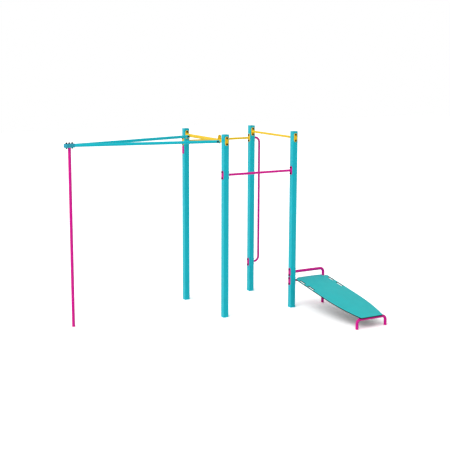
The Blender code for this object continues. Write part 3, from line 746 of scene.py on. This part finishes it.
def make_posts():
    for name in POSTS:
        node = f"{name}_post"
        low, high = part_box(node)
        side = high.x - low.x
        frame = plumb_frame(node)
        outer = rounded_square(side, POST_CORNER)
        edge = rounded_square(side - 2 * EDGE_BREAK, POST_CORNER - EDGE_BREAK)
        inner = rounded_square(side - 2 * POST_WALL, POST_CORNER - POST_WALL)
        post = bmesh.new()
        add_loft(post, [
            raised(edge, low.z),
            raised(outer, low.z + EDGE_BREAK),
            raised(outer, high.z - EDGE_BREAK),
            raised(edge, high.z),
            raised(inner, high.z),
            raised(inner, low.z + FOOT_PLATE_THICKNESS),
        ])
        finish_piece(node, post, ["teal"], frame)
        make_cap(name, side, frame)


def make_cap(name, side, frame):
    """A pressed-in post cap: its lid has a rolled edge, and its plug tapers."""
    low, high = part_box(f"{name}_post_cap")
    seat = high.z - CAP_THICKNESS
    plug = side - 2 * (POST_WALL + FIT_GAP)
    corner = POST_CORNER - POST_WALL
    rings = [
        raised(rounded_square(plug - 2 * CAP_TUCK, corner - CAP_TUCK), low.z),
        raised(rounded_square(plug, corner), low.z + 2 * CAP_TUCK),
        raised(rounded_square(plug, corner), seat),
        raised(rounded_square(side - 2 * EDGE_BREAK, POST_CORNER - EDGE_BREAK), seat),
        raised(rounded_square(side, POST_CORNER), seat + EDGE_BREAK),
    ]
    for step in range(ROUNDING_STEPS + 1):
        turn = math.pi / 2 * step / ROUNDING_STEPS
        tuck = CAP_ROUNDING * (1 - math.cos(turn))
        outline = rounded_square(side - 2 * tuck, POST_CORNER - tuck)
        rings.append(raised(outline, high.z - CAP_ROUNDING * (1 - math.sin(turn))))
    cap = bmesh.new()
    add_loft(cap, rings)
    finish_piece(f"{name}_post_cap", cap, ["teal"], frame)


def bolt_spots():
    return [Vector((0, side * BOLT_SPACING / 2)) for side in (-1, 1)]


def plate_outlines(holes=True):
    """The oval plate and its two bolt holes."""
    outlines = [oval(PLATE_HEIGHT, PLATE_WIDTH, PLATE_END_STEPS)]
    if holes:
        hole = circle(BOLT_RADIUS + HOLE_CLEARANCE, SHANK_SIDES)[::-1]
        outlines += [[spot + point for point in hole] for spot in bolt_spots()]
    return outlines


def add_plate(shape, frame=Matrix(), holes=True):
    """An oval plate whose outer face has rounded edges, standing on local zero."""
    add_slab(shape, plate_outlines(holes), 0, PLATE_THICKNESS, PLATE_ROUNDING, frame,
             round_low=False)


def make_plates():
    for node, (post, colour) in LOOSE_PLATES.items():
        centre = middle(node)
        away = centre - middle(f"{post}_post")
        outward = max(SIDES.values(), key=away.dot)
        plate = bmesh.new()
        add_plate(plate)
        seat = centre - outward * PLATE_THICKNESS / 2
        finish_piece(node, plate, [colour], face_frame(seat, outward))


def make_blank_plate():
    low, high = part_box("blank_plate")
    seat = Vector((low.x + PLATE_THICKNESS, (low.y + high.y) / 2, (low.z + high.z) / 2))
    plate = bmesh.new()
    add_plate(plate, holes=False)
    for spot in bolt_spots():
        root = Matrix.Translation((spot.x, spot.y, PLATE_THICKNESS / 2 - BLANK_PIN_LENGTH))
        pin = [(BLANK_PIN_RADIUS, 0), (BLANK_PIN_RADIUS, BLANK_PIN_LENGTH)]
        add_turned(plate, pin, SHANK_SIDES, root)
    finish_piece("blank_plate", plate, ["pink"], face_frame(seat, SIDES["left"]))


def add_cover(shape, height, frame=Matrix()):
    """A cover, seated at zero: a washer, a seam, and a dome with a notch to pry at."""
    dome_low = WASHER_THICKNESS + SEAM_HEIGHT
    notch_top = dome_low + PRY_NOTCH_HEIGHT
    rings = [raised(circle(radius, COVER_SIDES), level) for radius, level in (
        (COVER_RADIUS, 0),
        (COVER_RADIUS, WASHER_THICKNESS - WASHER_ROUNDING),
        (COVER_RADIUS - WASHER_ROUNDING, WASHER_THICKNESS),
        (SEAM_RADIUS, WASHER_THICKNESS),
        (SEAM_RADIUS, dome_low),
    )]
    for level in (dome_low, notch_top):
        outline = circle(DOME_RADIUS, COVER_SIDES)
        for index in (-1, 0, 1):
            outline[index] *= 1 - PRY_NOTCH_DEPTH / DOME_RADIUS
        rings.append(raised(outline, level))
    notch_top += PRY_NOTCH_SLOPE
    rings.append(raised(circle(DOME_RADIUS, COVER_SIDES), notch_top))
    steps = 2 * ROUNDING_STEPS
    for step in range(steps):
        turn = math.pi / 2 * step / steps
        level = height - DOME_RISE * (1 - math.sin(turn))
        if level > notch_top:
            rings.append(raised(circle(DOME_RADIUS * math.cos(turn), COVER_SIDES), level))
    rings.append(raised(circle(DOME_FLAT_RADIUS, COVER_SIDES), height))
    add_loft(shape, rings, frame=frame)


def make_bolt(node, seat, grip, head_height, nut_height):
    """A bolt. Its head seats on the frame's zero, and its nut closes the grip below."""
    bolt = bmesh.new()
    add_cover(bolt, head_height)
    add_turned(bolt, [(BOLT_RADIUS, -grip), (BOLT_RADIUS, 0)], SHANK_SIDES)
    below = Matrix.Translation((0, 0, -grip)) @ Matrix.Rotation(math.pi, 4, "X")
    add_cover(bolt, nut_height, below)
    finish_piece(node, bolt, ["black"], seat)


def make_bolts():
    for bar, sides in HEAD_SIDES.items():
        for number in range(1, 2 * len(sides) + 1):
            node = f"{bar}_bolt_{number}"
            outward = SIDES[sides[(number - 1) // 2]]
            low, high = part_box(node)
            length = abs((high - low).dot(outward))
            seat = (low + high) / 2 + outward * (length / 2 - HEAD_HEIGHT)
            grip = length - HEAD_HEIGHT - NUT_HEIGHT
            make_bolt(node, face_frame(seat, outward), grip, HEAD_HEIGHT, NUT_HEIGHT)


def add_flanged_tube(shape, length, radius, wall, drop):
    """A tube between two oval flanges, along local Z from zero to its length."""
    axis = Vector((0, -drop, 0))
    far = Matrix.Translation((0, 0, length)) @ Matrix.Rotation(math.pi, 4, "Y")
    add_plate(shape)
    add_plate(shape, far)
    ends = [axis + UP * (PLATE_THICKNESS / 2), axis + UP * (length - PLATE_THICKNESS / 2)]
    add_tube(shape, straight(*ends), radius, wall, Vector((1, 0, 0)))
    add_ring_bead(shape, radius, PLATE_THICKNESS, 1, centre=axis, seed=length)
    add_ring_bead(shape, radius, length - PLATE_THICKNESS, -1, centre=axis, seed=-length)


def bar_frame(node, height):
    """The frame of a straight bar, at the middle of its first flange, and the bar's length."""
    low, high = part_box(node)
    size = high - low
    if size.x > size.y:
        return face_frame(Vector((low.x, (low.y + high.y) / 2, height)), SIDES["right"]), size.x
    return face_frame(Vector(((low.x + high.x) / 2, low.y, height)), SIDES["back"]), size.y


def make_bars():
    for node, colour in (("right_bar", "yellow"), ("back_bar", "yellow"), ("pull_up_bar", "pink")):
        frame, length = bar_frame(node, middle(node).z)
        bar = bmesh.new()
        add_flanged_tube(bar, length, BAR_RADIUS, BAR_WALL, 0)
        finish_piece(node, bar, [colour], frame)


def beam_angle():
    """The angle between a beam and the line from the pole to the bay."""
    pole = middle("climbing_pole")
    spread = pole.y - middle("front_left_post").y - BEAM_INSET
    return math.atan2(spread, middle("front_left_post").x - pole.x)


def beam_frame(side):
    """A beam's frame: origin on the pole's axis, local X along it. Side is -1 for the front one."""
    pole = middle("climbing_pole")
    height = middle("left_bar_front_plate").z - LEFT_BAR_DROP - BEAM_DROP
    turn = Matrix.Rotation(side * beam_angle(), 4, "Z")
    return Matrix.Translation((pole.x, pole.y, height)) @ turn


def beam_reach():
    return middle("front_left_post").x - middle("climbing_pole").x


def make_left_bar():
    """The left bar, with tongues that the beams slide over and the stop plate at the front one."""
    height = middle("left_bar_front_plate").z
    low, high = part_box("left_bar")
    post = middle("front_left_post")
    frame = face_frame(Vector((post.x, low.y, height)), SIDES["back"])
    bar = bmesh.new()
    add_flanged_tube(bar, high.y - low.y, LEFT_BAR_RADIUS, LEFT_BAR_WALL, LEFT_BAR_DROP)
    to_bar = frame.inverted()
    angle = beam_angle()
    half = Vector((TONGUE_LENGTH / 2, TONGUE_HEIGHT / 2))
    corners = [Vector((half.x, -half.y)), half, Vector((-half.x, half.y)), -half]
    for side in (-1, 1):
        centre = Vector((beam_reach() / math.cos(angle) - half.x, 0, 0))
        upright = Matrix.Translation(centre) @ Matrix.Rotation(math.pi / 2, 4, "X")
        add_slab(bar, [corners], -TONGUE_THICKNESS / 2, TONGUE_THICKNESS / 2, TONGUE_ROUNDING,
                 to_bar @ beam_frame(side) @ upright)
    beam_back = BEAM_INSET + BEAM_RADIUS / math.cos(angle) + math.tan(angle) * PLATE_WIDTH / 2
    depth = post.y + beam_back + STOP_PLATE_GAP - low.y
    add_slab(bar, plate_outlines(False), depth, depth + PLATE_THICKNESS, PLATE_ROUNDING,
             Matrix.Translation((0, STOP_PLATE_RISE, 0)))
    axis = Vector((0, -LEFT_BAR_DROP, 0))
    add_ring_bead(bar, LEFT_BAR_RADIUS, depth + PLATE_THICKNESS, 1, centre=axis, seed=3)
    finish_piece("left_bar", bar, ["yellow"], frame)


def make_grip_bar():
    low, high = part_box("grip_bar")
    top = middle("back_bar").z
    foot = middle("grip_bar_plate").z
    frame = face_frame(Vector((low.x, (low.y + high.y) / 2, top)), SIDES["right"])
    out = high.x - BAR_RADIUS - low.x
    fall = Vector((0, foot - top, 0))
    root = Vector((0, 0, PLATE_THICKNESS / 2))
    grip = bmesh.new()
    corners = [root, UP * out, UP * out + fall, root + fall]
    add_tube(grip, bent_path(corners, GRIP_BAR_BEND), BAR_RADIUS, BAR_WALL, Vector((1, 0, 0)))
    for drop in (Vector((0, 0, 0)), fall):
        add_plate(grip, Matrix.Translation(drop))
        add_ring_bead(grip, BAR_RADIUS, PLATE_THICKNESS, 1, centre=drop, seed=drop.y)
    finish_piece("grip_bar", grip, ["pink"], frame)


def make_pole():
    """The climbing pole, closed at its foot, and the capped screw at its head."""
    low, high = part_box("climbing_pole")
    place = plumb_frame("climbing_pole")
    bore = POLE_RADIUS - POLE_WALL
    pole = bmesh.new()
    add_turned(pole, [
        (POLE_RADIUS - EDGE_BREAK, low.z),
        (POLE_RADIUS, low.z + EDGE_BREAK),
        (POLE_RADIUS, high.z),
        (bore, high.z),
        (bore, low.z + FOOT_PLATE_THICKNESS),
    ], TUBE_SIDES)
    finish_piece("climbing_pole", pole, ["pink"], place)
    low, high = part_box("pole_head_screw")
    seat = high.z - HUB_HEAD_HEIGHT
    plug = bore - 2 * FIT_GAP
    plug_top = low.z + POLE_PLUG_THICKNESS
    screw = bmesh.new()
    add_cover(screw, HUB_HEAD_HEIGHT, Matrix.Translation((0, 0, seat)))
    stem = [(plug, low.z), (plug, plug_top), (BOLT_RADIUS, plug_top), (BOLT_RADIUS, seat)]
    add_turned(screw, stem, TUBE_SIDES)
    finish_piece("pole_head_screw", screw, ["black"], place)


def make_hub():
    """The cast hub on the pole's head, its bottom plate and their two bolts."""
    low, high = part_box("hub_body")
    place = plumb_frame("hub_body")
    plan = lobed(HUB_LOBE_RADIUS)
    bolt_hole = circle(BOLT_RADIUS + HOLE_CLEARANCE, TUBE_SIDES)[::-1]
    pole_hole = circle(POLE_RADIUS + HOLE_CLEARANCE, TUBE_SIDES)[::-1]
    spots = [Vector((side * HUB_LOBE_STEP, 0)) for side in (-1, 1)]
    holes = [[spot + point for point in bolt_hole] for spot in spots]
    hub = bmesh.new()
    walls = [add_wall(hub, slab_rings(plan, low.z, high.z, HUB_ROUNDING))]
    walls += [add_wall(hub, slab_rings(hole, low.z, high.z, EDGE_BREAK)) for hole in holes]
    web = high.z - HUB_WEB
    bore = ((pole_hole, low.z), (pole_hole, web), (bolt_hole, web), (bolt_hole, high.z))
    walls.append(add_wall(hub, [raised(outline, level) for outline, level in bore]))
    add_flat(hub, [first for first, last in walls])
    add_flat(hub, [last for first, last in walls])
    finish_piece("hub_body", hub, ["cast"], place)
    low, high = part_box("hub_plate")
    plate = bmesh.new()
    add_slab(plate, [plan] + holes + [pole_hole], low.z, high.z, HUB_PLATE_ROUNDING)
    finish_piece("hub_plate", plate, ["teal"], place)
    for number, spot in enumerate(spots, 1):
        node = f"hub_bolt_{number}"
        low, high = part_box(node)
        seat = place @ Matrix.Translation((spot.x, spot.y, high.z - HUB_HEAD_HEIGHT))
        grip = high.z - low.z - HUB_HEAD_HEIGHT - HUB_NUT_HEIGHT
        make_bolt(node, seat, grip, HUB_HEAD_HEIGHT, HUB_NUT_HEIGHT)


def beam_start(side, across):
    """Where a line along a beam leaves the hub or the mitre between the beams."""
    angle = side * beam_angle()
    lobe = Vector((HUB_LOBE_STEP * math.cos(angle), -HUB_LOBE_STEP * math.sin(angle)))
    radius = HUB_LOBE_RADIUS + FIT_GAP
    aside = across - lobe.y
    hub = lobe.x + math.sqrt(max(radius ** 2 - aside ** 2, 0))
    mitre = (FIT_GAP / 2 - side * across * math.cos(angle)) / abs(math.sin(angle))
    return max(hub, mitre)


def beam_end(side, across, height):
    """Where a line along a beam meets the left bar."""
    angle = side * beam_angle()
    radius = LEFT_BAR_RADIUS + BEAM_END_GAP
    cope = math.sqrt(max(radius ** 2 - (height - BEAM_DROP) ** 2, 0))
    end = beam_reach() - max(cope, BEAM_LIP)
    return (end + across * math.sin(angle)) / math.cos(angle)


def beam_rings(spots, side):
    """A beam's first and last ring: cut at the hub, and coped round the left bar."""
    return ([Vector((beam_start(side, spot.x), spot.x, spot.y)) for spot in spots],
            [Vector((beam_end(side, spot.x, spot.y), spot.x, spot.y)) for spot in spots])


def make_beams():
    for node, side in (("front_beam", -1), ("back_beam", 1)):
        frame = beam_frame(side)
        beam = bmesh.new()
        add_sleeve(beam, lambda spots: beam_rings(spots, side), BEAM_RADIUS, BEAM_WALL,
                   2 * TUBE_SIDES)
        finish_piece(node, beam, ["teal"], frame)
        along = beam_reach() / math.cos(beam_angle()) - BEAM_BOLT_INSET
        half_grip = BEAM_RADIUS + FIT_GAP
        seat = Matrix.Translation((along, -half_grip, 0)) @ Matrix.Rotation(math.pi / 2, 4, "X")
        make_bolt(f"{node}_bolt", frame @ seat, 2 * half_grip, HEAD_HEIGHT, NUT_HEIGHT)


def board_frame():
    """The board's frame and its foot frame's distance. Its origin is on the head bar's axis, and
    its local Y runs up along the board."""
    post = middle("front_right_post")
    rise = HEAD_BAR_HEIGHT - FOOT_FRAME_HEIGHT
    reach = math.hypot(FOOT_FRAME_DISTANCE, rise)
    swell = FOOT_FRAME_RADIUS - BAR_RADIUS
    tilt = math.atan2(rise, FOOT_FRAME_DISTANCE) - math.asin(swell / reach)
    origin = Vector((post.x + BOARD_OFFSET, post.y, HEAD_BAR_HEIGHT))
    frame = Matrix.Translation(origin) @ Matrix.Rotation(tilt, 4, "X")
    return frame, math.sqrt(reach ** 2 - swell ** 2)


def board_half_outline(foot_bar):
    """Right half of the board's outline, from the middle of its head to the middle of its foot."""
    head = BOARD_HEAD_WIDTH / 2
    full = BOARD_WIDTH / 2
    foot = BOARD_FOOT_WIDTH / 2
    taper_end = -foot_bar - BOARD_FOOT_OVERHANG + BOARD_FOOT_CORNER
    points = []
    for step in range(BOW_STEPS + 1):
        share = step / BOW_STEPS
        bow = BOARD_HEAD_BOW * (1 - share ** 2)
        points.append(Vector((head * share, BOARD_HEAD_OVERHANG + bow)))
    corner = points[-1].copy()
    shoulder = Vector((full, -BOARD_SHOULDER))
    for step in range(1, SHOULDER_STEPS + 1):
        points.append(corner.lerp(shoulder, step / SHOULDER_STEPS))
    for step in range(TAPER_STEPS + 1):
        share = step / TAPER_STEPS
        along = -BOARD_TAPER_START + (taper_end + BOARD_TAPER_START) * share
        points.append(Vector((full - (full - foot) * share ** BOARD_TAPER_POWER, along)))
    centre = Vector((foot - BOARD_FOOT_CORNER, taper_end))
    points += arc(centre, BOARD_FOOT_CORNER, 0, -math.pi / 2, SLOT_END_STEPS)[1:]
    return points


def bitten(outline, centre, radius):
    """The outline with a round bite taken out of it where a circle covers its points."""
    kept = []
    inside = [(point - centre).length < radius for point in outline]
    count = len(outline)
    for index, point in enumerate(outline):
        after = outline[(index + 1) % count]
        if not inside[index]:
            kept.append(point)
        if inside[index] == inside[(index + 1) % count]:
            continue
        run = after - point
        start = point - centre
        half = start.dot(run) / run.length_squared
        root = math.sqrt(half ** 2 - (start.length_squared - radius ** 2) / run.length_squared)
        crossing = point + run * (-half + (root if inside[index] else -root))
        if not inside[index]:
            entry = crossing
            continue
        first = math.atan2((entry - centre).y, (entry - centre).x)
        last = math.atan2((crossing - centre).y, (crossing - centre).x)
        outward = math.atan2((entry + crossing - 2 * centre).y, (entry + crossing - 2 * centre).x)
        sweep = (last - first) % math.tau
        if (outward - first) % math.tau < sweep:
            sweep -= math.tau
        kept += arc(centre, radius, first, first + sweep, 2 * SLOT_END_STEPS)
    return kept


def make_board():
    """The board: a coloured face on a black core, four hand slots and room for the leg."""
    frame, foot_bar = board_frame()
    low = BAR_RADIUS + FIT_GAP
    right = board_half_outline(foot_bar)
    left = [Vector((-point.x, point.y)) for point in reversed(right[1:])]
    leg_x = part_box("bench_rail")[1].x - RAIL_RADIUS
    leg = frame.inverted() @ Vector((leg_x, middle("front_right_post").y, HEAD_BAR_HEIGHT))
    bite = RAIL_RADIUS + NOTCH_CLEARANCE
    outline = bitten((right + left)[::-1], Vector((leg.x, leg.y)), bite)
    aside = BOARD_WIDTH / 2 - SLOT_STRIP - SLOT_WIDTH / 2
    slots = []
    for start, length in zip(SLOT_STARTS, SLOT_LENGTHS):
        slot = oval(length, SLOT_WIDTH, SLOT_END_STEPS)[::-1]
        for side in (-1, 1):
            place = Vector((side * aside, -start - length / 2))
            slots.append([place + point for point in slot])
    board = bmesh.new()
    add_slab(board, [outline] + slots, low, low + BOARD_THICKNESS, BOARD_ROUNDING, paints=(1, 1, 0))
    finish_piece("bench_board", board, ["board", "core"], frame)


def add_studs(shape, frame, chosen):
    """The studs that hold the board, on the bar with the chosen radius."""
    to_board, foot_bar = board_frame()
    along = {BAR_RADIUS: 0, FOOT_FRAME_RADIUS: -foot_bar}[chosen]
    stud = [(STUD_RADIUS, 0), (STUD_RADIUS, BAR_WALL / 2 + FIT_GAP + STUD_BITE)]
    for side in (-1, 1):
        base = Vector((side * STUD_SPACING / 2, along, BAR_RADIUS - BAR_WALL / 2))
        place = frame.inverted() @ to_board @ Matrix.Translation(base)
        add_turned(shape, stud, SHANK_SIDES, place)


def make_rail():
    """The foot rail, bent down into its leg."""
    low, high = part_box("bench_rail")
    height = middle("bench_rail_plate").z
    frame = face_frame(Vector((low.x, middle("front_right_post").y, height)), SIDES["right"])
    out = high.x - RAIL_RADIUS - low.x
    corners = [UP * (PLATE_THICKNESS / 2), UP * out, UP * out - Vector((0, height, 0))]
    rail = bmesh.new()
    add_tube(rail, bent_path(corners, RAIL_BEND), RAIL_RADIUS, RAIL_WALL, Vector((1, 0, 0)))
    add_plate(rail)
    add_ring_bead(rail, RAIL_RADIUS, PLATE_THICKNESS, 1, seed=5)
    finish_piece("bench_rail", rail, ["pink"], frame)


def saddle_ring(spots, leg):
    """The ring of spots at the end of the head bar, cut to sit on the leg."""
    saddle = RAIL_RADIUS + 2 * FIT_GAP
    return [Vector((spot.x, spot.y, leg - math.sqrt(saddle ** 2 - spot.x ** 2)))
            for spot in spots]


def make_head_bar():
    """The bar under the board's head, from its flange to a saddle cut on the leg."""
    low_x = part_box("bench_head_bar")[0].x
    origin = Vector((low_x, middle("front_right_post").y, HEAD_BAR_HEIGHT))
    frame = face_frame(origin, SIDES["right"])
    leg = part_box("bench_rail")[1].x - RAIL_RADIUS - low_x
    bar = bmesh.new()
    add_sleeve(bar, lambda spots: (raised(spots, PLATE_THICKNESS / 2), saddle_ring(spots, leg)),
               BAR_RADIUS, BAR_WALL, TUBE_SIDES)
    add_plate(bar)
    add_ring_bead(bar, BAR_RADIUS, PLATE_THICKNESS, 1, seed=7)
    seam = saddle_ring(circle(BAR_RADIUS, TUBE_SIDES), leg)
    leans = []
    for spot in seam:
        from_leg = Vector((spot.x, 0, spot.z - leg)).normalized()
        leans.append(Vector((spot.x, spot.y, 0)).normalized() + from_leg)
    add_bead(bar, seam, leans, seed=9)
    add_studs(bar, frame, BAR_RADIUS)
    finish_piece("bench_head_bar", bar, ["pink"], frame)


def make_foot_frame():
    """The low frame that carries the board's foot."""
    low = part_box("bench_foot_frame")[0]
    centre = middle("bench_foot_frame")
    frame = Matrix.Translation((centre.x, centre.y, 0))
    half = Vector((centre.x - low.x - FOOT_FRAME_RADIUS, 0, 0))
    lift = UP * FOOT_FRAME_HEIGHT
    foot = bmesh.new()
    path = bent_path([-half, lift - half, lift + half, half], FOOT_FRAME_BEND)
    add_tube(foot, path, FOOT_FRAME_RADIUS, FOOT_FRAME_WALL, Vector((0, 1, 0)))
    add_studs(foot, frame, FOOT_FRAME_RADIUS)
    finish_piece("bench_foot_frame", foot, ["pink"], frame)


def make_floor():
    """A pale floor that shows white where it is in the open and keeps the object's shadow."""
    shape = bmesh.new()
    corners = [Vector((x * FLOOR_REACH, y * FLOOR_REACH, -FLOOR_DROP))
               for x, y in ((-1, -1), (1, -1), (1, 1), (-1, 1))]
    shape.faces.new([shape.verts.new(corner) for corner in corners])
    data = bpy.data.meshes.new("floor")
    shape.to_mesh(data)
    shape.free()
    floor = bpy.data.objects.new("floor", data)
    bpy.context.scene.collection.objects.link(floor)
    finish = Finish("pale_floor")
    grey, white = [(level, level, level, 1) for level in (FLOOR_GREY, FLOOR_WHITE)]
    base = finish.mix(finish.shown(), grey, white)
    finish.shade(Base_Color=base, Roughness=1.0, Specular_IOR_Level=0.0)
    data.materials.append(finish.material)


def make_world():
    """White to the eye and in reflections. As light it is soft, and stronger on the left."""
    world = bpy.data.worlds.new("studio")
    bpy.context.scene.world = world
    world.use_nodes = True
    nodes = Nodes(world.node_tree)
    place = nodes.add("ShaderNodeTexCoord").outputs["Generated"]
    sides = nodes.add("ShaderNodeSeparateXYZ", Vector=place).outputs
    light = nodes.math("MULTIPLY_ADD", sides["X"], -SKY_SIDE, SKY_LEVEL)
    level = nodes.add("ShaderNodeMix", Factor=nodes.shown(), A=light, B=1.0).outputs["Result"]
    background = nodes.tree.nodes["Background"]
    nodes.fill(background, {"Color": (1, 1, 1, 1), "Strength": level})


def make_lamps():
    lamp = bpy.data.lights.new("key", "SUN")
    lamp.energy = KEY_LEVEL
    lamp.angle = KEY_SPREAD
    key = bpy.data.objects.new("key", lamp)
    key.rotation_euler = KEY_TURN
    bpy.context.scene.collection.objects.link(key)


def make_camera():
    scene = bpy.context.scene
    data = bpy.data.cameras.new("photo_camera")
    data.lens = CAMERA_LENS
    data.sensor_width = SENSOR_WIDTH
    camera = bpy.data.objects.new("photo_camera", data)
    scene.collection.objects.link(camera)
    yaw, pitch = CAMERA_YAW, CAMERA_PITCH
    level = math.cos(pitch)
    ahead = Vector((math.sin(yaw) * level, math.cos(yaw) * level, -math.sin(pitch)))
    right = Vector((math.cos(yaw), -math.sin(yaw), 0))
    turn = Matrix((right, right.cross(ahead), -ahead)).transposed()
    turn = turn @ Matrix.Rotation(CAMERA_ROLL, 3, "Z")
    camera.matrix_world = Matrix.Translation(CAMERA_PLACE) @ turn.to_4x4()
    scene.camera = camera
    scene.view_settings.view_transform = "Standard"


FINISHES = make_finishes()
make_posts()
make_plates()
make_blank_plate()
make_bolts()
make_bars()
make_left_bar()
make_grip_bar()
make_pole()
make_hub()
make_beams()
make_board()
make_rail()
make_head_bar()
make_foot_frame()
make_floor()
make_world()
make_lamps()
make_camera()
